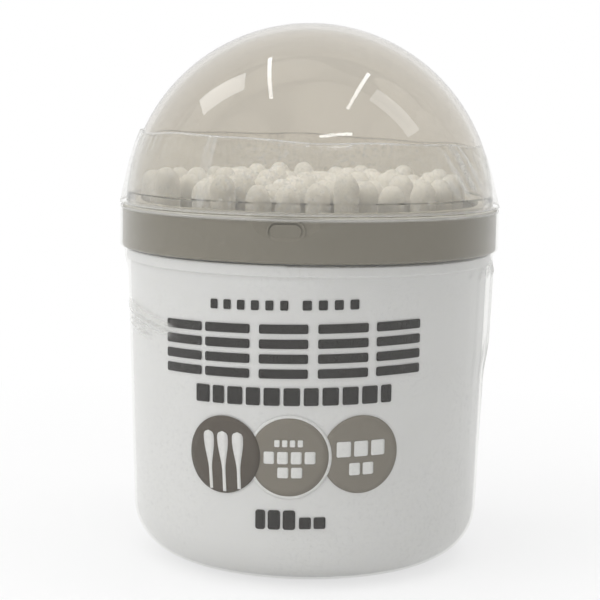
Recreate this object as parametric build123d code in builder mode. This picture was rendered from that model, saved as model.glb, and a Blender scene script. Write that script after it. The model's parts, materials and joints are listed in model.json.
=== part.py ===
"""Cotton swab tub: a drafted tub, a press-fitted collar, a hinged clear dome, shrink film and 100 swabs.

Millimetres.  +Z is up, the origin is at the middle of the base, the thumb tab faces -Y and the
lid's hinge runs along X behind the collar.
"""
from build123d import *
import math
import os
import random

# ---- driving dimensions -------------------------------------------------------------------
# tub
tub_radius = 35.8            # outside of the wall, just under the flange
draft = 1.7                  # degrees, the wall narrows downwards
tub_wall = 1.4
bottom_round = 9.0           # outside radius of the rounded bottom edge
floor_thickness = 1.3
foot_height = 0.8            # the foot ring lifts the base off the table
foot_width = 1.6
foot_inset = 3.6             # from the end of the rounded edge in to the foot ring
flange_height = 2.2
flange_overhang = 0.7        # beyond the wall
neck_wall = 1.0
neck_bead = 0.45             # proud of the neck
neck_bead_height = 1.2

# collar
collar_height = 8.4
skirt_wall = 1.2
deck_thickness = 1.2
spigot_height = 0.7
spigot_wall = 1.0
rib_depth = 0.5              # retaining rib under the neck's bead
rib_height = 1.0
seam_gap = 0.3               # between the skirt and the flange
collar_edge = 0.4            # rounding of the collar's outer edges
scoop_width = 13.0           # thumb scoop in the collar's top edge
scoop_drop = 4.4
pad_width = 5.7              # stadium pad inside the scoop
pad_height = 2.4
pad_below_top = 2.5          # from the collar's top to the pad's middle
pad_frame = 0.4              # rim around the pad's groove
pad_groove = 0.35
pad_inset = 0.15             # the pad's face stops this far short of the collar's outside

# lid
lid_setback = 0.7            # the dome stands in from the collar's outside
lid_wall = 1.2
lid_centre_drop = 0.7        # the dome's centre lies this far under the seam
rim_height = 2.2
rim_thicken = 0.3
tab_width = 12.0
tab_height = 1.2
tab_inset = 0.1              # the tab stops short of the collar's face
tab_lift = 0.25              # finger gap between the tab and the collar

# hinge
hinge_out = 0.55             # the axis lies this far outside the collar
barrel_radius = 1.3
barrel_length = 12.0
pin_radius = 0.7
pin_length = 2.2
ear_width = 2.4
ear_foot = 2.8               # how far the ears run down the skirt under the axis
hinge_gap = 0.3              # barrel to collar, and barrel to ears
pin_clearance = 0.05

# swabs
pack_count = 100
swab_length = 73.0
swab_show = 5.3              # how far the swabs reach above the collar
bud_radius = 2.5
bud_length = 14.0
bud_tip = 3.4                # length of the rounded tip
stick_radius = 1.15
stick_inset = 3.0            # the stick stops this far inside the bud's tip
stick_fit = 0.05             # the stick in the bud's socket
bud_lip = 0.15               # the bud's thin edge on the stick
bud_taper = 0.9              # the bud's girth at its waist, as a share of its widest
bud_waist = 8.4              # from the tip to the waist
bud_slant = 0.3              # how fast the bud narrows onto the stick
bud_gap = 0.3                # least distance between neighbouring buds
splay = 1.09                 # the pack is wider at the top than at the floor
lean_x = -0.9                # the heads lean to the left
lean_y = -0.5                # and to the front
wander = 1.3                 # how far a head strays from its place in the pack
wedge = 2.6                  # the highest that a swab is wedged above its seat
seed = 11                    # of the swabs' scatter
spread_rounds = 200          # passes that push crowded heads apart

# film
film_thickness = 0.2
film_gap = 0.3               # the film's inside to what it covers
film_reach = 14.5            # up the dome, from the seam
film_seam = 0.3              # from the seam to each film edge
film_under = 1.8             # the sleeve runs this far in past the rounded edge
film_tent = 2.4              # the sleeve meets the wall this far under the flange
film_window = 1.6            # clear of the hinge on each side

# fits
rim_clearance = 0.3          # dome rim around the spigot
neck_clearance = 0.3         # collar skirt over the neck's bead
floor_clearance = 0.25       # under the swabs

same_radius = 0.01           # edges this near in radius count as one size

# ---- levels and radii that follow ------------------------------------------------------------
floor_top = foot_height + floor_thickness
seam = floor_top + floor_clearance + swab_length - swab_show     # the collar's top, the lid's foot
deck_under = seam - deck_thickness                               # the deck sits on the neck here
skirt_end = seam - collar_height
flange_top = skirt_end - seam_gap
flange_under = flange_top - flange_height
slope = math.tan(math.radians(draft))


def wall_radius(z):
    """Outside of the tub's wall at height z."""
    return tub_radius - (flange_under - z) * slope


def bore_radius(z):
    """Inside of the tub at height z."""
    return wall_radius(z) - tub_wall


flange_radius = tub_radius + flange_overhang
mouth_radius = bore_radius(flange_top)
neck_radius = mouth_radius + neck_wall
bead_radius = neck_radius + neck_bead
skirt_inside = bead_radius + neck_clearance
collar_radius = skirt_inside + skirt_wall
bead_middle = (deck_under + skirt_end) / 2
lid_radius = collar_radius - lid_setback
dome_centre = seam - lid_centre_drop
rim_inside = lid_radius - lid_wall - rim_thicken
spigot_radius = rim_inside - rim_clearance
hinge_y = collar_radius + hinge_out
apex = dome_centre + lid_radius


def ring_profile(*points):
    """A closed straight-sided profile in the XZ plane."""
    with BuildSketch(Plane.XZ) as sketch:
        with BuildLine():
            Polyline(*points, close=True)
        make_face()
    return sketch.sketch


def circles_of(builder, radius):
    """The circular edges of a radius."""
    circles = builder.edges().filter_by(GeomType.CIRCLE)
    return circles.filter_by(lambda edge: abs(edge.radius - radius) < same_radius)


# ---- tub --------------------------------------------------------------------------------------
inner_round = bottom_round - tub_wall
lean_angle = math.radians(draft)


def rounded_wall(radius_at, corner, low, top):
    """Points of a wall that runs from the axis round a corner and up to the level top.

    radius_at gives the wall's radius at a level, corner is the radius of its rounded bottom edge
    and low is the level of its bottom.  The corner's arc is tangent to the floor and to the wall.
    """
    centre_z = low + corner
    centre_x = radius_at(centre_z) - corner / math.cos(lean_angle)
    wall_start = (centre_x + corner * math.cos(lean_angle), centre_z - corner * math.sin(lean_angle))
    half = (math.pi / 2 - lean_angle) / 2 + lean_angle
    halfway = (centre_x + corner * math.cos(half), centre_z - corner * math.sin(half))
    return (centre_x, low), halfway, wall_start, (radius_at(top), top)


with BuildPart() as tub:
    with BuildSketch(Plane.XZ):
        with BuildLine():
            heel, halfway, wall_start, wall_end = rounded_wall(
                wall_radius, bottom_round, foot_height, flange_under
            )
            floor_edge, inner_halfway, bore_start, bore_end = rounded_wall(
                bore_radius, inner_round, floor_top, flange_top
            )
            Polyline((0, floor_top), (0, foot_height), heel)
            ThreePointArc(heel, halfway, wall_start)
            Polyline(
                wall_start,
                wall_end,
                (flange_radius, flange_under),
                (flange_radius, flange_top),
                (neck_radius, flange_top),
                (neck_radius, deck_under),
                (mouth_radius, deck_under),
                bore_end,
                bore_start,
            )
            ThreePointArc(bore_start, inner_halfway, floor_edge)
            Line(floor_edge, (0, floor_top))
        make_face()
    revolve(axis=Axis.Z)
    # retaining bead around the neck
    add(
        revolve(
            ring_profile(
                (neck_radius, bead_middle - neck_bead_height / 2),
                (bead_radius, bead_middle),
                (neck_radius, bead_middle + neck_bead_height / 2),
            ),
            axis=Axis.Z,
            mode=Mode.PRIVATE,
        )
    )
    # foot ring
    with BuildSketch(Plane.XY):
        Circle(heel[0] - foot_inset)
        Circle(heel[0] - foot_inset - foot_width, mode=Mode.SUBTRACT)
    extrude(amount=foot_height)
    fillet(circles_of(tub, flange_radius), radius=flange_overhang / 2)
tub.part.label = "tub"

# ---- collar -----------------------------------------------------------------------------------
rib_top = bead_middle - neck_bead_height / 2 - seam_gap
scoop_depth = collar_radius - math.sqrt(collar_radius**2 - (scoop_width / 2) ** 2)
scoop_radius = (scoop_drop**2 + scoop_depth**2) / (2 * scoop_depth)
pad_root = collar_radius - (skirt_wall + scoop_depth) / 2
groove_ring = 2 * pad_groove
frame_ring = groove_ring + 2 * pad_frame
ear_middle = barrel_length / 2 + hinge_gap + ear_width / 2

with BuildPart() as collar:
    # skirt, deck and spigot in one turned ring
    add(
        revolve(
            ring_profile(
                (spigot_radius - spigot_wall, deck_under),
                (skirt_inside, deck_under),
                (skirt_inside, rib_top),
                (skirt_inside - rib_depth, rib_top - rib_height / 2),
                (skirt_inside, rib_top - rib_height),
                (skirt_inside, skirt_end),
                (collar_radius, skirt_end),
                (collar_radius, seam),
                (spigot_radius, seam),
                (spigot_radius, seam + spigot_height),
                (spigot_radius - spigot_wall, seam + spigot_height),
            ),
            axis=Axis.Z,
            mode=Mode.PRIVATE,
        )
    )
    fillet(circles_of(collar, collar_radius), radius=collar_edge)
    # hinge ears: each a rounded plate that runs from the skirt out to the pins' axis
    with BuildSketch(*[Plane.YZ.offset(side * ear_middle - ear_width / 2) for side in (-1, 1)]) as ears:
        with BuildLine():
            CenterArc((hinge_y, seam), barrel_radius, 0, 360)
            Line(
                (collar_radius - skirt_wall / 2, seam - deck_thickness),
                (collar_radius - skirt_wall / 2, seam - ear_foot - barrel_radius),
            )
        make_hull()
        with Locations((hinge_y, seam)):
            Circle(pin_radius + pin_clearance, mode=Mode.SUBTRACT)
    extrude(amount=ear_width)
    # trough that the lid's barrel turns in
    with BuildSketch(Plane.YZ.offset(-barrel_length / 2 - hinge_gap)):
        with Locations((hinge_y, seam)):
            Circle(barrel_radius + hinge_gap)
    extrude(amount=barrel_length + 2 * hinge_gap, mode=Mode.SUBTRACT)
    # thumb scoop: a lying cylinder bites into the top edge
    with BuildSketch(Plane.YZ.offset(-collar_radius)):
        with Locations((scoop_depth - collar_radius - scoop_radius, seam)):
            Circle(scoop_radius)
    extrude(amount=2 * collar_radius, mode=Mode.SUBTRACT)
    # stadium pad with a groove and a frame around it
    with BuildSketch(Plane.XZ.offset(pad_root)):
        with Locations((0, seam - pad_below_top)):
            SlotOverall(pad_width + frame_ring, pad_height + frame_ring)
            SlotOverall(pad_width + groove_ring, pad_height + groove_ring, mode=Mode.SUBTRACT)
            SlotOverall(pad_width, pad_height)
    extrude(amount=collar_radius - pad_inset - pad_root)
collar.part.label = "collar"


# ---- dome lid ---------------------------------------------------------------------------------
def dome_point(radius, z):
    """Point of a dome surface of the given radius at level z."""
    return math.sqrt(radius**2 - (z - dome_centre) ** 2), z


def dome_middle(radius):
    """A point half-way up a dome surface, for its arc."""
    return radius * math.cos(math.pi / 4), dome_centre + radius * math.sin(math.pi / 4)


inner_dome = lid_radius - lid_wall
rim_top = seam + rim_height

with BuildPart() as dome_lid:
    with BuildSketch(Plane.XZ):
        with BuildLine():
            outer_foot = dome_point(lid_radius, seam)
            inner_foot = dome_point(inner_dome, rim_top + rim_thicken)
            ThreePointArc(outer_foot, dome_middle(lid_radius), (0, apex))
            Line((0, apex), (0, dome_centre + inner_dome))
            ThreePointArc((0, dome_centre + inner_dome), dome_middle(inner_dome), inner_foot)
            Polyline(inner_foot, (rim_inside, rim_top), (rim_inside, seam), outer_foot)
        make_face()
    revolve(axis=Axis.Z)
    # thumb tab: a short ledge at the front, a finger gap above the scoop
    with BuildSketch(Plane.XY.offset(seam + tab_lift)):
        Circle(collar_radius - tab_inset)
        with Locations((0, -collar_radius)):
            Rectangle(tab_width, collar_radius, mode=Mode.INTERSECT)
        Circle(lid_radius - lid_wall / 2, mode=Mode.SUBTRACT)
    extrude(amount=tab_height)
    # hinge arm, barrel and stub pins behind the rim
    with BuildSketch(Plane.YZ.offset(-barrel_length / 2)):
        with Locations((hinge_y, seam)):
            Circle(barrel_radius)
        with Locations((lid_radius - lid_wall / 2, seam)):
            Rectangle(hinge_y - lid_radius + lid_wall / 2, barrel_radius, align=(Align.MIN, Align.MIN))
    extrude(amount=barrel_length)
    with BuildSketch(Plane.YZ.offset(-barrel_length / 2 - pin_length)):
        with Locations((hinge_y, seam)):
            Circle(pin_radius)
    extrude(amount=barrel_length + 2 * pin_length)
dome_lid.part.label = "dome_lid"


# ---- swabs ------------------------------------------------------------------------------------
spacing = 2 * bud_radius + bud_gap
corner_middle = rounded_wall(bore_radius, inner_round, floor_top, flange_top)[0][0]
corner_reach = inner_round - bud_radius - floor_clearance
mouth_limit = spigot_radius - spigot_wall - bud_radius - bud_gap


def pack_spots():
    """Spots (row, x, y) of the swabs' feet: the pack_count spots nearest to the middle."""
    row_step = spacing * math.sqrt(3) / 2
    reach = math.ceil(math.sqrt(pack_count)) + 1
    spots = []
    for row in range(-reach, reach + 1):
        shift = spacing / 2 if row % 2 else 0
        for place in range(-reach, reach + 1):
            spots.append((row, place * spacing + shift, (row + 0.5) * row_step))
    spots.sort(key=lambda spot: (round(math.hypot(spot[1], spot[2]), 6), spot[0], spot[1]))
    return spots[:pack_count]


def spread_heads(heads):
    """Push heads that are too near each other apart, inside the collar's mouth."""
    for _ in range(spread_rounds):
        for i, first in enumerate(heads):
            for second in heads[:i]:
                dx, dy = first[0] - second[0], first[1] - second[1]
                gap = math.hypot(dx, dy)
                if gap < spacing:
                    push = (spacing - gap) / 2 / gap
                    first[0] += dx * push
                    first[1] += dy * push
                    second[0] -= dx * push
                    second[1] -= dy * push
        for head in heads:
            radius = math.hypot(*head)
            if radius > mouth_limit:
                head[0] *= mouth_limit / radius
                head[1] *= mouth_limit / radius
    return heads


def seat_height(radius):
    """Height of a swab's foot on the floor, or on the rounded corner, at a radius."""
    past = max(0, radius - corner_middle)
    lift = corner_reach - math.sqrt(max(0, corner_reach**2 - past**2))
    return floor_top + floor_clearance + lift


def swab_planes():
    """The plane of each swab: origin at its foot, +Z along its stick, keyed by row."""
    draw = random.Random(seed)
    spots = pack_spots()
    heads = [
        [
            x * splay + lean_x + draw.uniform(-wander, wander),
            y * splay + lean_y + draw.uniform(-wander, wander),
        ]
        for row, x, y in spots
    ]
    rows = {}
    for (row, x, y), head in zip(spots, spread_heads(heads)):
        foot = Vector(x, y, seat_height(math.hypot(x, y)) + wedge * draw.random() ** 2)
        top = Vector(head[0], head[1], seam)
        rows.setdefault(row, []).append(Plane(origin=foot, z_dir=top - foot))
    return [rows[row] for row in sorted(rows)]


def far_end(plane):
    """The plane at the other end of a swab, looking back along it."""
    return Plane(origin=plane.origin + plane.z_dir * swab_length, z_dir=-plane.z_dir)


socket_radius = stick_radius + stick_fit
bud_neck = (stick_radius + bud_lip, bud_length)

with BuildPart() as bud:
    with BuildSketch(Plane.XZ):
        with BuildLine():
            Spline(
                (0, 0),
                (bud_radius, bud_tip),
                (bud_radius * bud_taper, bud_waist),
                bud_neck,
                tangents=((1, 0), (-bud_slant, 1)),
            )
            Polyline(
                bud_neck, (socket_radius, bud_length), (socket_radius, stick_inset), (0, stick_inset), (0, 0)
            )
        make_face()
    revolve(axis=Axis.Z)

with BuildPart() as stick:
    with BuildSketch(Plane.XY.offset(stick_inset + stick_fit)):
        Circle(stick_radius)
    extrude(amount=swab_length - 2 * (stick_inset + stick_fit))

swab_rows = []
for number, planes in enumerate(swab_planes(), start=1):
    with BuildPart() as sticks:
        with Locations(*planes):
            add(stick.part)
    sticks.part.label = f"sticks_row_{number:02d}"
    with BuildPart() as foot_buds:
        with Locations(*planes):
            add(bud.part)
    foot_buds.part.label = f"foot_buds_row_{number:02d}"
    with BuildPart() as head_buds:
        with Locations(*[far_end(plane) for plane in planes]):
            add(bud.part)
    head_buds.part.label = f"head_buds_row_{number:02d}"
    swab_rows += [sticks.part, foot_buds.part, head_buds.part]


# ---- shrink film ------------------------------------------------------------------------------
def tangent_point(point, radius):
    """Where a straight line up from a point touches the dome surface of a radius."""
    distance = math.hypot(point[0], point[1] - dome_centre)
    bearing = math.atan2(point[1] - dome_centre, point[0])
    angle = bearing + math.acos(radius / distance)
    return radius * math.cos(angle), dome_centre + radius * math.sin(angle)


def band_line(out):
    """The lid band's line, out from its inside face: a taut stretch, then on the dome."""
    radius = lid_radius + film_gap + out
    foot = (collar_radius + film_gap + out, seam + film_seam)
    touch = tangent_point(foot, radius)
    middle = dome_point(radius, (touch[1] + seam + film_reach) / 2)
    return foot, touch, middle, dome_point(radius, seam + film_reach)


def sleeve_line(out):
    """The sleeve's line, out from its inside face: collar, flange, wall and rounded edge."""
    cover = film_gap + out
    tent_end = flange_under - film_tent
    under, around, wall_foot, wall_top = rounded_wall(
        lambda z: wall_radius(z) + cover, bottom_round + cover, foot_height - cover, tent_end
    )
    upper = [
        (collar_radius + cover, seam - film_seam),
        (collar_radius + cover, skirt_end + collar_edge),
        (flange_radius + cover, flange_top - flange_overhang / 2),
        (flange_radius + cover, flange_under + flange_overhang / 2),
        wall_top,
        wall_foot,
    ]
    return upper, around, under, (under[0] - film_under, under[1])


window_width = 2 * ear_middle + ear_width + 2 * film_window
window_height = ear_foot + 2 * (barrel_radius + film_window)

with BuildPart() as film_lid_band:
    with BuildSketch(Plane.XZ):
        with BuildLine():
            foot_in, touch_in, middle_in, top_in = band_line(0)
            foot_out, touch_out, middle_out, top_out = band_line(film_thickness)
            Line(foot_in, touch_in)
            ThreePointArc(touch_in, middle_in, top_in)
            Line(top_in, top_out)
            ThreePointArc(top_out, middle_out, touch_out)
            Polyline(touch_out, foot_out, foot_in)
        make_face()
    revolve(axis=Axis.Z)
    with Locations((0, collar_radius, seam)):
        Box(window_width, collar_radius, window_height, mode=Mode.SUBTRACT)
film_lid_band.part.label = "film_lid_band"

with BuildPart() as film_sleeve:
    with BuildSketch(Plane.XZ):
        with BuildLine():
            upper_in, around_in, under_in, edge_in = sleeve_line(0)
            upper_out, around_out, under_out, edge_out = sleeve_line(film_thickness)
            Polyline(*upper_in)
            ThreePointArc(upper_in[-1], around_in, under_in)
            Polyline(under_in, edge_in, edge_out, under_out)
            ThreePointArc(under_out, around_out, upper_out[-1])
            Polyline(*reversed(upper_out), upper_in[0])
        make_face()
    revolve(axis=Axis.Z)
    with Locations((0, collar_radius, seam)):
        Box(window_width, collar_radius, window_height, mode=Mode.SUBTRACT)
film_sleeve.part.label = "film_sleeve"

os.makedirs("parts", exist_ok=True)
for piece in [tub.part, collar.part, dome_lid.part, film_lid_band.part, film_sleeve.part, *swab_rows]:
    export_step(piece, f"parts/{piece.label}.step")
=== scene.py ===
import json
import math
import random

import bpy
import numpy as np
from mathutils import Matrix, Vector, noise


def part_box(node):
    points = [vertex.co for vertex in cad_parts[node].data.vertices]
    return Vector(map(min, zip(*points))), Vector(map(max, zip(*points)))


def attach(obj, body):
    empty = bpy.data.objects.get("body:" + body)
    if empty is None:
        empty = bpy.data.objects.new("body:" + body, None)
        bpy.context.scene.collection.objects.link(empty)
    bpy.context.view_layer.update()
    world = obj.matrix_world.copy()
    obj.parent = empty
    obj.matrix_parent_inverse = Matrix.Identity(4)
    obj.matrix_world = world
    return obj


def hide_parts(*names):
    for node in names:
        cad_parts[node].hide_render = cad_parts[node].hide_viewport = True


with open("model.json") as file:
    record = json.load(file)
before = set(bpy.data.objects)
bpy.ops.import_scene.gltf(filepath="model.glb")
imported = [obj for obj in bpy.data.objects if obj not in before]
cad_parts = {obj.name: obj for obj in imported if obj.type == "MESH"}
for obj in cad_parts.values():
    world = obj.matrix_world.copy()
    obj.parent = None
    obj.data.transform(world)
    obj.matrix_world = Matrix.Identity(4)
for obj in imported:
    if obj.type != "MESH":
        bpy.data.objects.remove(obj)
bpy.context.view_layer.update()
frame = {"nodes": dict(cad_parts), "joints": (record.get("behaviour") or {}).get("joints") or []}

MM = 0.001
TURN = 2 * math.pi

# ---- places read from the frame --------------------------------------------------------------
HINGE = Vector(frame["joints"][0]["pos_m"])
SEAM = HINGE.z                                   # the collar's top and the lid's foot
COLLAR_LOW, COLLAR_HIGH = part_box("collar")
BAND_LOW, BAND_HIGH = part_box("film_lid_band")
TUB_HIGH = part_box("tub")[1]
LID_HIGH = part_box("dome_lid")[1]
FILM_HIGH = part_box("film_sleeve")[1]
COLLAR_RADIUS = COLLAR_HIGH.x
LID_RADIUS = LID_HIGH.x
DOME_CENTRE = LID_HIGH.z - LID_RADIUS
SKIRT_END = COLLAR_LOW.z
FLANGE_RADIUS = TUB_HIGH.x
TUB_BODY, LID_BODY = "container", "lid"
DOME_SHADE_TINT = (0.73, 0.70, 0.645)                  # light left by one wall of the dome: a painted shade of dark surroundings seen through the clear plastic
SHADOW_TINT = (0.98, 0.98, 0.97)                 # lamp light left by one wall of the dome

# ---- the tub's outline, as the part has it -----------------------------------------------------
SEAM_GAP = 0.3 * MM
FLANGE_HEIGHT = 2.2 * MM
FLANGE_OVERHANG = 0.7 * MM
DRAFT = math.radians(1.7)
BOTTOM_ROUND = 9.0 * MM
FOOT_HEIGHT = 0.8 * MM
FLANGE_TOP = SKIRT_END - SEAM_GAP
FLANGE_UNDER = FLANGE_TOP - FLANGE_HEIGHT


def wall_radius(z):
    """Outside of the tub's wall at a level."""
    return FLANGE_RADIUS - FLANGE_OVERHANG - (FLANGE_UNDER - z) * math.tan(DRAFT)


# ---- small helpers -----------------------------------------------------------------------------
def smooth(low, high, x):
    """0 at low and 1 at high, eased between and level beyond.  Low may be the larger one."""
    t = min(1.0, max(0.0, (x - low) / (high - low)))
    return t * t * (3 - 2 * t)


def between(x, start, full, fade, end):
    """1 from full to fade and 0 outside start and end, eased between."""
    return smooth(start, full, x) * smooth(end, fade, x)


def bell(x, middle, width):
    """A soft hump of height 1."""
    return math.exp(-(((x - middle) / width) ** 2))


def on_wall(angle, radius, z):
    """The point at an angle from the front, positive to the right of it."""
    return Vector((radius * math.sin(angle), -radius * math.cos(angle), z))


def make_piece(name, verts, faces, material, body, replaced=()):
    """A mesh piece with smooth shading that rides on a body."""
    mesh = bpy.data.meshes.new(name)
    mesh.from_pydata([tuple(v) for v in verts], [], faces)
    mesh.validate()
    mesh.polygons.foreach_set("use_smooth", [True] * len(mesh.polygons))
    mesh.materials.append(material)
    piece = bpy.data.objects.new(name, mesh)
    bpy.context.scene.collection.objects.link(piece)
    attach(piece, body)
    if replaced:
        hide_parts(*replaced)
    return piece


def seen_rays(nodes, links):
    """1 for rays that look at a surface, from the camera or by way of gloss or clear plastic."""
    path = nodes.new("ShaderNodeLightPath")
    seen = path.outputs["Is Camera Ray"]
    for kind in ("Is Glossy Ray", "Is Transmission Ray"):
        either = nodes.new("ShaderNodeMath")
        either.operation = "MAXIMUM"
        links.new(seen, either.inputs[0])
        links.new(path.outputs[kind], either.inputs[1])
        seen = either.outputs[0]
    return seen


def thicken(piece, thickness):
    """Turn a sheet into a closed thin solid, half the thickness to each side."""
    solid = piece.modifiers.new("thickness", "SOLIDIFY")
    solid.thickness = thickness
    solid.offset = 0


# ---- materials ---------------------------------------------------------------------------------
class Shader:
    """A node material with one Principled shader and short ways to add to it."""

    def __init__(self, name, colour, roughness, **sockets):
        self.material = bpy.data.materials.new(name)
        self.material.use_nodes = True
        self.nodes = self.material.node_tree.nodes
        self.links = self.material.node_tree.links
        self.surface = self.nodes["Principled BSDF"]
        self.output = self.nodes["Material Output"]
        self.place = self.nodes.new("ShaderNodeTexCoord").outputs["Object"]
        self.set("Base Color", (*colour, 1))
        self.set("Roughness", roughness)
        for socket, value in sockets.items():
            self.set(socket.replace("_", " "), value)

    def set(self, socket, value):
        self.surface.inputs[socket].default_value = value

    def node(self, kind, **inputs):
        made = self.nodes.new(kind)
        for socket, value in inputs.items():
            self.feed(made.inputs[socket.replace("_", " ")], value)
        return made

    def feed(self, socket, value):
        if isinstance(value, bpy.types.NodeSocket):
            self.links.new(value, socket)
        else:
            socket.default_value = value

    def noise(self, scale, detail=3.0, stretch=(1, 1, 1), roughness=0.5):
        """Noise in the piece's own space; scale is in cells per metre."""
        mapping = self.node("ShaderNodeMapping", Vector=self.place, Scale=stretch)
        vector = mapping.outputs["Vector"]
        made = self.node("ShaderNodeTexNoise", Vector=vector, Scale=scale, Detail=detail)
        made.inputs["Roughness"].default_value = roughness
        return made.outputs["Fac"]

    def spread(self, value, low, high, start=0.3, end=0.7):
        """Low where the value is at start, high where it is at end."""
        made = self.node("ShaderNodeMapRange", Value=value)
        made.inputs["From Min"].default_value = start
        made.inputs["From Max"].default_value = end
        made.inputs["To Min"].default_value = low
        made.inputs["To Max"].default_value = high
        return made.outputs["Result"]

    def math(self, kind, *values):
        made = self.nodes.new("ShaderNodeMath")
        made.operation = kind
        for socket, value in zip(made.inputs, values):
            self.feed(socket, value)
        return made.outputs[0]

    def blend(self, value, first, second):
        """A colour between two, each a colour or another node's output."""
        made = self.nodes.new("ShaderNodeMix")
        made.data_type = "RGBA"
        self.feed(made.inputs[0], value)
        for socket, colour in ((made.inputs[6], first), (made.inputs[7], second)):
            self.feed(socket, colour if isinstance(colour, bpy.types.NodeSocket) else (*colour, 1))
        return made.outputs[2]

    def colours(self, value, first, second):
        self.feed(self.surface.inputs["Base Color"], self.blend(value, first, second))

    def bump(self, height, strength, distance, to=()):
        """Bump the Principled shader and any other nodes given."""
        made = self.node("ShaderNodeBump", Height=height, Strength=strength, Distance=distance)
        for target in (self.surface, *to):
            self.links.new(made.outputs["Normal"], target.inputs["Normal"])

    def mix(self, share, first, second):
        """A mix of the shaders of two nodes."""
        made = self.nodes.new("ShaderNodeMixShader")
        self.feed(made.inputs[0], share)
        self.links.new(first.outputs[0], made.inputs[1])
        self.links.new(second.outputs[0], made.inputs[2])
        return made

    def show(self, shader):
        """Let a node's shader be the material's surface."""
        self.links.new(shader.outputs[0], self.output.inputs["Surface"])


def tub_plastic():
    """White polypropylene with a faint moulded grain."""
    made = Shader("tub_white", (0.80, 0.80, 0.79), 0.36, Specular_IOR_Level=0.5)
    made.colours(made.noise(60), (0.79, 0.79, 0.785), (0.83, 0.83, 0.825))
    made.feed(made.surface.inputs["Roughness"], made.spread(made.noise(900), 0.32, 0.42))
    made.bump(made.noise(2600, 2), 0.12, 0.05 * MM)
    made.set("Subsurface Weight", 0.12)
    made.set("Subsurface Radius", (1.0, 1.0, 0.9))
    made.set("Subsurface Scale", 1.2 * MM)
    return made.material


def collar_plastic():
    """Warm grey polypropylene, satin, with a painted highlight along its top edge."""
    made = Shader("collar_grey", (0.24, 0.22, 0.18), 0.34)
    shade = made.noise(90)
    level = made.node("ShaderNodeSeparateXYZ", Vector=made.place).outputs["Z"]
    # painted highlight: the colour turns pale over the top 0.7 mm, in place of light catching the
    # collar's top edge
    painted_top_highlight = made.spread(level, 0.0, 1.0, SEAM - 0.7 * MM, SEAM - 0.1 * MM)
    body = made.blend(shade, (0.225, 0.206, 0.165), (0.255, 0.234, 0.192))
    made.feed(made.surface.inputs["Base Color"], made.blend(painted_top_highlight, body, (0.62, 0.6, 0.55)))
    made.feed(made.surface.inputs["Roughness"], made.spread(made.noise(1100), 0.28, 0.4))
    made.bump(made.noise(2400, 2), 0.12, 0.05 * MM)
    return made.material


def see_lamps(made, tint):
    """Let the lamps' light pass the surface instead of casting a solid shadow."""
    path = made.nodes.new("ShaderNodeLightPath")
    through = made.node("ShaderNodeBsdfTransparent", Color=(*tint, 1))
    made.show(made.mix(path.outputs["Is Shadow Ray"], made.surface, through))


def clear_plastic():
    """Clear polystyrene, glossy, with faint rub marks; its warm grey tint is a painted shade of dark
    surroundings seen through it.
    """
    # painted shade: the warm grey tint darkens the clear dome like dark surroundings seen through it
    made = Shader("dome_clear", DOME_SHADE_TINT, 0.02, IOR=1.5, Transmission_Weight=1.0)
    made.feed(made.surface.inputs["Roughness"], made.spread(made.noise(420, 5), 0.0, 0.05))
    made.bump(made.noise(60, 1), 0.04, 0.3 * MM)
    see_lamps(made, SHADOW_TINT)
    return made.material


def film(name, haze, patches):
    """Thin clear film: see-through, glossy at a slant, with fine ripples and specks of haze.

    Haze is how white the specks are, patches how far they show outside the cloudy patches.
    """
    made = Shader(name, (0.85, 0.85, 0.83), 0.6)
    ripples = made.noise(150, 3, (1, 1, 0.25))
    grain = made.noise(700, 3)
    height = made.math("MULTIPLY_ADD", grain, 0.15, ripples)
    slant = made.nodes.new("ShaderNodeLayerWeight")
    gloss = made.node("ShaderNodeBsdfAnisotropic", Color=(1, 1, 1, 1), Roughness=0.11)
    made.bump(height, 0.45, 0.12 * MM, [slant, gloss])
    through = made.node("ShaderNodeBsdfTransparent", Color=(0.985, 0.985, 0.98, 1))
    steep = made.math("POWER", slant.outputs["Facing"], 4.5)
    mirrored = made.math("MULTIPLY_ADD", steep, 0.35, 0.015)
    clear = made.mix(mirrored, through, gloss)
    specks = made.spread(made.noise(1300, 5, roughness=0.75), 0.0, 1.0, 0.5, 0.72)
    where = made.spread(made.noise(55, 2), patches, 1.0, 0.42, 0.62)
    haze_and_highlight = made.math("MULTIPLY", made.math("MULTIPLY", specks, where), haze)
    # cut edges and creases turn white: partly real whitening of the film, partly a painted highlight
    edge = made.nodes.new("ShaderNodeAttribute")
    edge.attribute_name = "whitened_and_highlight"
    haze_and_highlight = made.math("MULTIPLY_ADD", edge.outputs["Fac"], EDGE_HAZE_AND_HIGHLIGHT, haze_and_highlight)
    made.show(made.mix(haze_and_highlight, clear, made.surface))
    return made.material


def cotton():
    """Spun cotton: matt, soft, with a fine fibrous bump round the bud."""
    made = Shader("cotton", (0.92, 0.91, 0.89), 0.95, Sheen_Weight=0.35, Sheen_Roughness=0.5)
    made.colours(made.noise(700, 4), (0.9, 0.89, 0.87), (0.95, 0.945, 0.93))
    made.bump(made.noise(1800, 6, (1, 1, 0.5), 0.75), 0.55, 0.12 * MM)
    made.set("Subsurface Weight", 0.35)
    made.set("Subsurface Radius", (1.0, 0.95, 0.85))
    made.set("Subsurface Scale", 0.8 * MM)
    return made.material


def paper():
    """Rolled white paper with a faint grain along the stick."""
    made = Shader("paper_stick", (0.86, 0.85, 0.82), 0.8)
    made.colours(made.noise(1200, 4, (1, 1, 0.2)), (0.82, 0.81, 0.77), (0.88, 0.87, 0.84))
    made.bump(made.noise(1500, 4, (1, 1, 0.1)), 0.3, 0.05 * MM)
    return made.material


def ink(name, colour):
    """Printing ink under the film, with the unevenness of a thin coat."""
    made = Shader(name, colour, 0.45)
    lighter = tuple(min(1.0, c * 1.12 + 0.004) for c in colour)
    made.colours(made.noise(1400, 4), colour, lighter)
    made.feed(made.surface.inputs["Roughness"], made.spread(made.noise(800), 0.4, 0.52))
    return made.material


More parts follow.
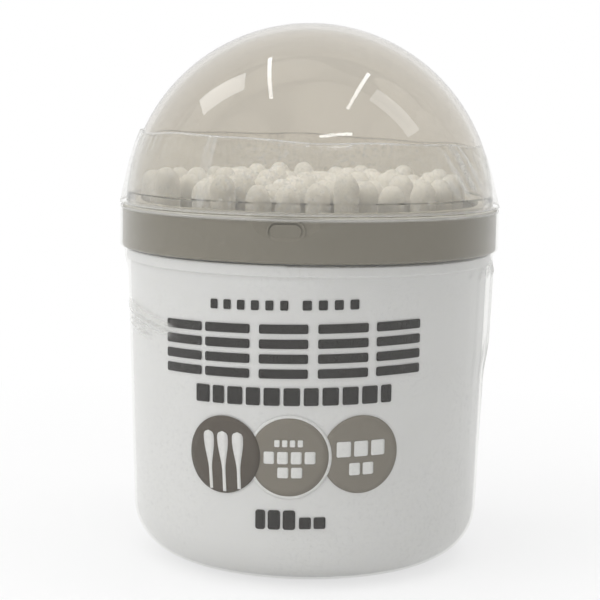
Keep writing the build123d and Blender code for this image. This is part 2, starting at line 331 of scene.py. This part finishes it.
# ---- cotton buds -------------------------------------------------------------------------------
def islands(node):
    """The vertices of each separate solid in a CAD node."""
    mesh = frame["nodes"][node].data
    parent = list(range(len(mesh.vertices)))

    def root(i):
        while parent[i] != i:
            parent[i] = parent[parent[i]]
            i = parent[i]
        return i

    for edge in mesh.edges:
        parent[root(edge.vertices[0])] = root(edge.vertices[1])
    corners = {}
    for i, vertex in enumerate(mesh.vertices):
        key = tuple(round(c / (0.002 * MM)) for c in vertex.co)
        parent[root(i)] = root(corners.setdefault(key, i))
    groups = {}
    for i, vertex in enumerate(mesh.vertices):
        groups.setdefault(root(i), []).append(vertex.co)
    return [np.array(group, float) for group in groups.values()]


def bud_axis(points):
    """The tip of a head bud and the direction that runs down it, with its length."""
    middle = points.mean(0)
    long_way = np.linalg.svd(points - middle, full_matrices=False)[2][0]
    long_way = long_way if long_way[2] < 0 else -long_way
    along = (points - middle) @ long_way
    return Vector(middle + long_way * along.min()), Vector(long_way), float(np.ptp(along))


BUD_RADIUS = 2.5 * MM
BUD_SIDES, BUD_RINGS = 26, 22
STICK_RADIUS = 1.15 * MM


def bud_radius(t):
    """Radius of a bud at a share of its length from the tip."""
    tip = math.sqrt(max(0.0, 1 - (1 - min(1.0, t / 0.25)) ** 2.2))
    taper = 1 - 0.12 * smooth(0.3, 0.7, t) - 0.36 * smooth(0.66, 1.0, t)
    return BUD_RADIUS * tip * taper


def add_bud(verts, faces, tip, down, length, draw):
    """One cotton bud: a wound, slightly lumpy lathe form with a soft end on the stick."""
    side = down.orthogonal().normalized()
    across = down.cross(side)
    shift = Vector([draw.uniform(-40, 40) for _ in range(3)])
    squeeze = draw.uniform(0.94, 1.0)
    twist = draw.uniform(0, TURN)
    base = len(verts)
    verts.append(tip + down * length * 0.006)
    for ring in range(1, BUD_RINGS + 1):
        t = (ring / BUD_RINGS) ** 1.35
        for step in range(BUD_SIDES):
            angle = TURN * step / BUD_SIDES + twist
            way = side * math.cos(angle) * squeeze + across * math.sin(angle)
            probe = shift + way * 1.6 + down * t * 5
            lump = 0.07 * noise.noise(probe) + 0.02 * noise.noise(probe * 3.1)
            wound = 0.008 * math.sin(angle * 2 + t * 34)
            radius = bud_radius(t) * (0.965 + lump + wound)
            radius = max(radius, STICK_RADIUS * 1.03) if t > 0.5 else radius
            verts.append(tip + down * length * t + way * radius)
    for step in range(BUD_SIDES):
        faces.append((base, base + 1 + (step + 1) % BUD_SIDES, base + 1 + step))
        for ring in range(BUD_RINGS - 1):
            a = base + 1 + ring * BUD_SIDES
            b = a + BUD_SIDES
            after = (step + 1) % BUD_SIDES
            faces.append((a + step, a + after, b + after, b + step))
    last = base + 1 + (BUD_RINGS - 1) * BUD_SIDES
    faces.append(tuple(last + step for step in range(BUD_SIDES)))


def build_heads(material):
    """The head buds of each row, in place of the plain CAD solids."""
    draw = random.Random(7)
    for node in sorted(n for n in frame["nodes"] if n.startswith("head_buds_row_")):
        verts, faces = [], []
        groups = sorted(islands(node), key=lambda points: points[:, 0].mean())
        for points in groups:
            add_bud(verts, faces, *bud_axis(points), draw)
        name = node.replace("head_buds", "cotton_heads")
        make_piece(name, verts, faces, material, TUB_BODY, [node])


# ---- shrink film -------------------------------------------------------------------------------
FILM_THICKNESS = 0.06 * MM
EDGE_HAZE_AND_HIGHLIGHT = 0.35                                 # whiteness of the film's cut edges and creases, partly real whitening and partly a painted highlight
FILM_OFF = 0.4 * MM                              # the film's middle to what it covers
FILM_TURNS = 360                                 # points round the axis
SLEEVE_STEP, BAND_STEP = 0.55 * MM, 0.7 * MM     # distance of the points along the outline
WHITENING_AND_HIGHLIGHT = (0.12, 0.5)                          # slopes at which a wrinkle starts to whiten and is fully white, partly a painted highlight
WINDOW_HALF = 10.6 * MM                          # half the window that clears the hinge
WINDOW_LOW, WINDOW_HIGH = 6.0 * MM, 3.2 * MM     # below and above the seam

# Wrinkles: angles are in degrees from the front, positive to the right, and the rest in mm.
SLEEVE_LOOSE = (6, 14, 57.5, 60.5)               # heights between which the sleeve lifts
SLEEVE_EASE, SLEEVE_WOBBLE = 0.05, 0.07
SLACK, SLACK_HEIGHTS, SLACK_LIFT = (98, 24), (36, 44, 57, 60), 0.75
PLEATS, PLEAT_HEIGHTS, PLEAT_LIFT = (95, 34), (14, 40), 0.24
PLEAT_RATE = 0.9
PUCKER_ANGLE, PUCKER_HEIGHT, PUCKER_SLOPE = -72, 50.5, 0.09
PUCKERS = (                                      # below the line, width, angles, lift
    (0, 0.9, (-76, -66, -48, -30), 0.6),
    (2.6, 0.7, (-74, -66, -56, -44), 0.42),
)
BAND_EASE, BAND_WOBBLE = 0.12, 0.1
BAND_WAVE, WAVE_LIFT = (60, 13), 0.26
BAND_CREASE, CREASE_LIFT = (-25.5, 0.9), 0.3
RIPPLE_LIFT = 0.05


def along(points, step):
    """Points spaced evenly at about step along a polyline of (radius, z) pairs."""
    out = [points[0]]
    for (r0, z0), (r1, z1) in zip(points, points[1:]):
        count = max(1, round(math.hypot(r1 - r0, z1 - z0) / step))
        out += [(r0 + (r1 - r0) * i / count, z0 + (z1 - z0) * i / count) for i in range(1, count + 1)]
    return out


def arc(centre, radius, start, end, count):
    """Points on an arc in the (radius, z) plane."""
    angles = [start + (end - start) * i / count for i in range(count + 1)]
    return [(centre[0] + radius * math.cos(a), centre[1] + radius * math.sin(a)) for a in angles]


def sleeve_outline():
    """The sleeve's line from the seam down to where it curls under the base."""
    corner_z = FOOT_HEIGHT + BOTTOM_ROUND
    corner_r = wall_radius(corner_z) - BOTTOM_ROUND / math.cos(DRAFT)
    curl = arc((corner_r, corner_z), BOTTOM_ROUND + FILM_OFF, -DRAFT, -math.pi / 2, 16)
    tent_end = FLANGE_UNDER - 2.4 * MM
    upper = [
        (COLLAR_RADIUS + FILM_OFF, FILM_HIGH.z),
        (COLLAR_RADIUS + FILM_OFF, SKIRT_END + 0.4 * MM),
        (FLANGE_RADIUS + FILM_OFF, FLANGE_TOP - 0.35 * MM),
        (FLANGE_RADIUS + FILM_OFF, FLANGE_UNDER + 0.35 * MM),
        (wall_radius(tent_end) + FILM_OFF, tent_end),
        curl[0],
    ]
    return along(upper, SLEEVE_STEP) + curl[1:] + [(curl[-1][0] - 1.8 * MM, curl[-1][1])]


def band_outline():
    """The lid band's line: taut from the collar's width up to the dome, then on the dome."""
    radius = LID_RADIUS + FILM_OFF
    foot = (COLLAR_RADIUS + FILM_OFF, BAND_LOW.z)
    reach = math.hypot(foot[0], foot[1] - DOME_CENTRE)
    touch = math.atan2(foot[1] - DOME_CENTRE, foot[0]) + math.acos(radius / reach)
    top = math.asin((BAND_HIGH.z - DOME_CENTRE) / radius)
    on_dome = arc((0, DOME_CENTRE), radius, touch, top, 14)
    return along([foot, on_dome[0]], BAND_STEP) + on_dome[1:]


def sleeve_swell(angle, z):
    """How far the sleeve stands out from its line, in millimetres."""
    degrees = math.degrees(angle)
    height = z / MM
    slack = bell(degrees, *SLACK) * between(height, *SLACK_HEIGHTS)
    pleats = (0.5 + 0.5 * math.sin(degrees * PLEAT_RATE)) ** 3
    pleats *= bell(degrees, *PLEATS) * smooth(*PLEAT_HEIGHTS, height)
    lift = SLACK_LIFT * slack + PLEAT_LIFT * pleats
    line = height - PUCKER_HEIGHT + PUCKER_SLOPE * (degrees - PUCKER_ANGLE)
    for below, width, angles, rise in PUCKERS:
        lift += rise * bell(line, -below, width) * between(degrees, *angles)
    wobble = noise.noise(Vector((math.sin(angle) * 2.2, math.cos(angle) * 2.2, height * 0.05)))
    return between(height, *SLEEVE_LOOSE) * (lift + SLEEVE_WOBBLE * wobble + SLEEVE_EASE)


def band_swell(angle, z):
    """How far the lid band stands out from its line, in millimetres."""
    degrees = math.degrees(angle)
    up = (z - BAND_LOW.z) / (BAND_HIGH.z - BAND_LOW.z)
    wave = bell(degrees, *BAND_WAVE) * math.sin(degrees * 0.55 + up * 7) * smooth(0.05, 0.4, up)
    crease = bell(degrees, *BAND_CREASE) * smooth(0.02, 0.2, up)
    ripple = math.sin(degrees * 1.7) * smooth(0.5, 1.0, up)
    wobble = noise.noise(Vector((math.sin(angle) * 3, math.cos(angle) * 3, up * 2)))
    lift = WAVE_LIFT * wave + CREASE_LIFT * crease + RIPPLE_LIFT * ripple
    return BAND_EASE + lift + BAND_WOBBLE * wobble


def band_edge(angle):
    """How far the band's cut edge dips under its highest level, in metres."""
    side = math.sin(angle - math.radians(8))
    return (0.9 + 1.0 * side + 0.22 * math.sin(angle * 5 + 1) + 0.12 * math.sin(angle * 11)) * MM


def in_window(point):
    """True where the film is cut away round the hinge."""
    below, above = SEAM - WINDOW_LOW, SEAM + WINDOW_HIGH
    return point.y > 0 and abs(point.x) < WINDOW_HALF and below < point.z < above


def whitened_and_highlight(swells, row, turn):
    """How white the film is at a grid point, partly real whitening and partly a painted highlight:
    full at its two ends, and where it is steep.
    """
    if row in (0, len(swells) - 1):
        return 1.0
    up = swells[row + 1][turn] - swells[row - 1][turn]
    lifts = swells[row]
    across = lifts[(turn + 1) % len(lifts)] - lifts[turn - 1]
    return smooth(*WHITENING_AND_HIGHLIGHT, abs(up) + abs(across))


def build_film(name, node, outline, swell, body, material, dip=None):
    """A film sleeve: a grid round the axis, lifted by swell and given its thickness.

    Dip lowers the level, by nothing at the outline's first point and in full at its last.
    """
    turns = FILM_TURNS
    low, high = outline[0][1], outline[-1][1]
    angles = [TURN * turn / turns - math.pi for turn in range(turns)]
    swells = [[swell(angle, z) for angle in angles] for _, z in outline]
    verts = []
    for (r, z), lifts in zip(outline, swells):
        for angle, lift in zip(angles, lifts):
            level = z - dip(angle) * (z - low) / (high - low) if dip else z
            verts.append(on_wall(angle, r + lift * MM, level))
    faces = []
    for row in range(len(outline) - 1):
        for turn in range(turns):
            after = (turn + 1) % turns
            here, above = row * turns, (row + 1) * turns
            face = (here + turn, here + after, above + after, above + turn)
            if not any(in_window(verts[i]) for i in face):
                faces.append(face)
    used = sorted({i for face in faces for i in face})
    order = {old: new for new, old in enumerate(used)}
    piece = make_piece(
        name,
        [verts[i] for i in used],
        [tuple(order[i] for i in face) for face in faces],
        material,
        body,
        [node],
    )
    white = piece.data.attributes.new("whitened_and_highlight", "FLOAT", "POINT")
    white.data.foreach_set("value", [whitened_and_highlight(swells, *divmod(i, turns)) for i in used])
    thicken(piece, FILM_THICKNESS)


# ---- print -------------------------------------------------------------------------------------
INK_OFF = 0.14 * MM                              # the print lies between the wall and the film
INK_THICKNESS = 0.02 * MM
INK_LAYER = 0.03 * MM                            # each overlapping ink lies this much further out
LABEL_TILT = 0.025                               # the label rises to the right
DISC_RADIUS = 7.35                               # this and the places below are in mm
DISC_SIDES = 96
DISC_LEFT, DISC_MIDDLE, DISC_RIGHT = (-11.8, 25.8), (0.9, 25.8), (14.3, 26.0)
SWAB_ROWS = 40


def label_point(s, z, layer):
    """Label millimetres, s to the right and z up, to a point just off the wall."""
    z = (z + s * LABEL_TILT) * MM
    radius = wall_radius(z) + INK_OFF + layer * INK_LAYER
    return on_wall(s * MM / radius, radius, z)


class Print:
    """Flat printed shapes of one ink, gathered into one piece.  Sizes are in millimetres."""

    def __init__(self, name, material, layer=0):
        self.name, self.material, self.layer = name, material, layer
        self.verts, self.faces = [], []

    def grid(self, rows):
        """A patch from rows of (s, z) points, all of one length."""
        base, width = len(self.verts), len(rows[0])
        self.verts += [label_point(s, z, self.layer) for row in rows for s, z in row]
        for r in range(len(rows) - 1):
            for c in range(width - 1):
                a = base + r * width + c
                self.faces.append((a, a + 1, a + width + 1, a + width))

    def bar(self, s, z, width, height, corner=0.3):
        """A rounded bar centred at (s, z)."""
        corner = min(corner, width / 2, height / 2)
        count = max(4, round(width / 0.6))
        levels = [height / 2 - corner * (1 - math.sin(math.pi / 2 * i / 4)) for i in range(5)]
        levels = [-v for v in reversed(levels)] + levels
        rows = []
        for v in levels:
            past = abs(v) - (height / 2 - corner)
            half = width / 2 - corner + math.sqrt(max(0.0, corner**2 - past**2))
            rows.append([(s - half + 2 * half * i / count, z + v) for i in range(count + 1)])
        self.grid(rows)

    def blocks(self, left, right, z, height, shares, gap, corner=0.3):
        """Plain blocks side by side, in place of one line of lettering."""
        unit = (right - left - gap * (len(shares) - 1)) / sum(shares)
        for share in shares:
            self.bar(left + share * unit / 2, z, share * unit, height, corner)
            left += share * unit + gap

    def stack(self, left, right, z, height, bars, fill):
        """Bars over each other, in place of one large character."""
        pitch = height / (bars - 1 + fill)
        for level in range(bars):
            middle = z + (level - (bars - 1) / 2) * pitch
            self.bar((left + right) / 2, middle, right - left, pitch * fill, 0.35)

    def ring(self, centre, inner, outer):
        """A ring, or a disc closed by a fan at its middle if inner is 0."""
        bands = max(1, round((outer - inner) / 1.2))
        radii = [inner + (outer - inner) * j / bands for j in range(bands + 1)]
        hub = len(self.verts)
        if inner == 0:
            self.verts.append(label_point(*centre, self.layer))
            radii = radii[1:]
        first = len(self.verts)
        for r in radii:
            for turn in range(DISC_SIDES):
                angle = TURN * turn / DISC_SIDES
                s, z = centre[0] + r * math.cos(angle), centre[1] + r * math.sin(angle)
                self.verts.append(label_point(s, z, self.layer))
        for turn in range(DISC_SIDES):
            after = (turn + 1) % DISC_SIDES
            if inner == 0:
                self.faces.append((hub, first + turn, first + after))
            for band in range(len(radii) - 1):
                a = first + band * DISC_SIDES
                b = a + DISC_SIDES
                self.faces.append((a + turn, b + turn, b + after, a + after))

    def swab(self, top, foot, disc):
        """A swab picture whose stick ends at the edge of its disc."""
        rows = []
        for row in range(SWAB_ROWS + 1):
            share = row / SWAB_ROWS
            z = top[1] + (foot[1] - top[1]) * share
            down = top[1] - z
            s = top[0] + (foot[0] - top[0]) * share
            if math.hypot(s - disc[0], z - disc[1]) > DISC_RADIUS:
                break
            crown = math.sqrt(max(0.0, 1 - (1 - min(1.0, down / 1.1)) ** 2))
            half = crown * (1.12 - 0.78 * smooth(1.6, 7.6, down))
            rows.append([(s - half, z), (s, z), (s + half, z)])
        self.grid(rows[::-1])

    def finish(self):
        """Make the piece from the shapes gathered."""
        piece = make_piece(self.name, self.verts, self.faces, self.material, TUB_BODY)
        thicken(piece, INK_THICKNESS)


def build_print():
    """The label: plain blocks for its lines of words and three discs with simple pictures."""
    black = Print("print_black", ink("ink_black", (0.018, 0.016, 0.014)))
    black.blocks(-14.7, 0.5, 54.0, 1.8, [1] * 6, 1.25, 0.25)
    black.blocks(3.1, 13.5, 54.0, 1.8, [1] * 4, 1.25, 0.25)
    for left, right in ((-25.7, -16.7), (-15.9, -6.7), (-4.9, 4.2), (6.0, 15.4), (17.0, 26.3)):
        black.stack(left, right, 45.5, 10.0, 4, 0.62)
    black.blocks(-17.9, 20.2, 37.1, 3.3, [1, 0.8, 1, 0.9, 1, 1, 0.9, 1, 1, 1, 0.7], 0.7)
    black.blocks(-5.3, 2.2, 13.9, 3.7, [0.8, 1, 1], 0.5, 0.5)
    black.blocks(2.9, 7.8, 13.3, 2.2, [1, 1], 0.5)
    black.finish()
    right_disc = Print("print_disc_right", ink("ink_taupe", (0.235, 0.213, 0.178)))
    right_disc.ring(DISC_RIGHT, 0.0, DISC_RADIUS)
    right_disc.finish()
    edge = Print("print_disc_edge", ink("ink_edge", (0.78, 0.78, 0.77)), 1)
    edge.ring(DISC_MIDDLE, DISC_RADIUS - 0.3, DISC_RADIUS + 0.55)
    edge.finish()
    middle = Print("print_disc_middle", ink("ink_taupe_deep", (0.225, 0.203, 0.168)), 2)
    middle.ring(DISC_MIDDLE, 0.0, DISC_RADIUS)
    middle.finish()
    left_disc = Print("print_disc_left", ink("ink_brown", (0.095, 0.079, 0.062)), 3)
    left_disc.ring(DISC_LEFT, 0.0, DISC_RADIUS)
    left_disc.finish()
    white = Print("print_white", ink("ink_white", (0.8, 0.8, 0.79)), 4)
    for top, foot in ((-15.1, -14.2), (-12.1, -11.4), (-9.0, -8.4)):
        white.swab((top, 30.2), (foot, 17.5), DISC_LEFT)
    white.blocks(-1.8, 3.5, 28.4, 1.3, [1, 1, 1, 1], 0.45, 0.2)
    white.blocks(-3.8, 5.8, 25.7, 2.3, [1, 1, 1, 1], 0.55)
    white.blocks(-1.2, 3.4, 22.9, 2.0, [1, 1], 0.5)
    white.blocks(9.7, 19.0, 27.1, 2.9, [1, 1, 1], 0.6)
    white.blocks(12.1, 16.8, 23.3, 2.3, [1, 1], 0.5)
    white.finish()


# ---- stage, light and camera -------------------------------------------------------------------
CAMERA_TURN = math.radians(6.5)                  # the camera stands right of the thumb tab
CAMERA_AWAY = 327 * MM
CAMERA_HEIGHT = 92 * MM
CAMERA_DOWN = 0.126                              # this and the two below are in radians
CAMERA_YAW = 0.005
CAMERA_ROLL = 0.0156
CAMERA_LENS = 97.5                               # mm on a 36 mm sensor
CAMERA_SENSOR = 36
ROOM_LIGHT = 0.33                                # strength as light, against 1 where it is seen
FLOOR_HALF = 4.0
FLOOR_NEAR, FLOOR_FAR = 0.045, 0.2               # metres from the axis where it fades to white
STRIP_LEAN = 0.33                                # radians that the side strips lean inwards


def build_camera():
    """A camera on a turn round the axis, with its own small yaw and roll."""
    data = bpy.data.cameras.new("camera")
    data.lens = CAMERA_LENS
    data.sensor_width = CAMERA_SENSOR
    data.clip_start = 0.01
    camera = bpy.data.objects.new("camera", data)
    bpy.context.scene.collection.objects.link(camera)
    spin = Matrix.Rotation(CAMERA_TURN, 4, "Z")
    place = Matrix.Translation((0, -CAMERA_AWAY, CAMERA_HEIGHT))
    look = (
        Matrix.Rotation(CAMERA_YAW, 4, "Z")
        @ Matrix.Rotation(math.pi / 2 - CAMERA_DOWN, 4, "X")
        @ Matrix.Rotation(CAMERA_ROLL, 4, "Z")
    )
    camera.matrix_world = spin @ place @ look
    bpy.context.scene.camera = camera


def add_lamp(name, place, target, size, power, mirrored=True, size_y=None):
    """A rectangular lamp, in metres and watts; mirrored lets it show in glossy surfaces."""
    data = bpy.data.lights.new(name, "AREA")
    data.energy = power
    data.shape = "RECTANGLE"
    data.size = size
    data.size_y = size_y or size
    lamp = bpy.data.objects.new(name, data)
    bpy.context.scene.collection.objects.link(lamp)
    lamp.location = place
    lamp.visible_glossy = mirrored
    lamp.visible_transmission = False
    lamp.rotation_euler = (Vector(target) - Vector(place)).to_track_quat("-Z", "Y").to_euler()
    return lamp


def build_world():
    """An even pale room: white where it is seen, softer as light."""
    world = bpy.data.worlds.new("room")
    bpy.context.scene.world = world
    world.use_nodes = True
    nodes, links = world.node_tree.nodes, world.node_tree.links
    strength = nodes.new("ShaderNodeMapRange")
    links.new(seen_rays(nodes, links), strength.inputs["Value"])
    strength.inputs["To Min"].default_value = ROOM_LIGHT
    strength.inputs["To Max"].default_value = 1.0
    background = nodes["Background"]
    background.inputs["Color"].default_value = (1, 1, 1, 1)
    links.new(strength.outputs["Result"], background.inputs["Strength"])


def build_floor():
    """A pale floor that fades to white with distance and keeps the tub's shadow."""
    mesh = bpy.data.meshes.new("floor")
    corners = [(x * FLOOR_HALF, y * FLOOR_HALF, 0) for x, y in ((-1, -1), (1, -1), (1, 1), (-1, 1))]
    mesh.from_pydata(corners, [], [(0, 1, 2, 3)])
    floor = bpy.data.objects.new("floor", mesh)
    bpy.context.scene.collection.objects.link(floor)
    made = Shader("floor_white", (0.88, 0.88, 0.88), 0.8)
    far = made.node("ShaderNodeVectorMath")
    far.operation = "LENGTH"
    made.feed(far.inputs[0], made.place)
    fade = made.spread(far.outputs["Value"], 0.7, 1.0, FLOOR_NEAR, FLOOR_FAR)
    seen = seen_rays(made.nodes, made.links)
    glow = made.node("ShaderNodeEmission", Color=(1, 1, 1, 1), Strength=1.0)
    made.show(made.mix(made.math("MULTIPLY", fade, seen), made.surface, glow))
    mesh.materials.append(made.material)


def build_lamps():
    """A soft key and a soft top lamp, then three strips and two panes that gleam in the dome."""
    add_lamp("key", (-0.9, -0.75, 0.95), (0, 0, 0.05), 1.1, 8.2, mirrored=False)
    add_lamp("top", (0.05, 0.05, 1.2), (0, 0, 0.05), 0.9, 5.0, mirrored=False)
    left = add_lamp("strip_left", (-0.246, 0.02, 0.815), (0, 0, 0.07), 0.03, 0.4, size_y=0.5)
    right = add_lamp("strip_right", (0.295, -0.03, 0.805), (0, 0, 0.07), 0.03, 0.4, size_y=0.47)
    left.rotation_euler = (0, STRIP_LEAN, 0)
    right.rotation_euler = (0, -STRIP_LEAN, 0)
    add_lamp("strip_front", (0.25, -0.5, 0.665), (0, 0, 0.08), 0.26, 0.25, size_y=0.026)
    add_lamp("pane_left", (-0.515, 0.087, 0.702), (0, 0, 0.08), 0.2, 0.6, size_y=0.3)
    add_lamp("pane_right", (0.528, 0.0, 0.677), (0, 0, 0.08), 0.16, 0.4, size_y=0.36)


# ---- put together ------------------------------------------------------------------------------
def dress(names, material):
    """Give CAD nodes their finished material."""
    for name in names:
        data = frame["nodes"][name].data
        data.materials.clear()
        data.materials.append(material)


build_camera()
cotton_material = cotton()
dress(["tub"], tub_plastic())
dress(["collar"], collar_plastic())
dress(["dome_lid"], clear_plastic())
dress([n for n in frame["nodes"] if n.startswith("sticks_row_")], paper())
dress([n for n in frame["nodes"] if n.startswith("foot_buds_row_")], cotton_material)
build_heads(cotton_material)
build_film(
    "shrink_sleeve",
    "film_sleeve",
    sleeve_outline(),
    sleeve_swell,
    TUB_BODY,
    film("film_body", 0.05, 0.1),
)
build_film(
    "shrink_lid_band",
    "film_lid_band",
    band_outline(),
    band_swell,
    LID_BODY,
    film("film_lid", 0.3, 0.25),
    band_edge,
)
build_print()
build_world()
build_floor()
build_lamps()
bpy.context.scene.view_settings.view_transform = "Standard"
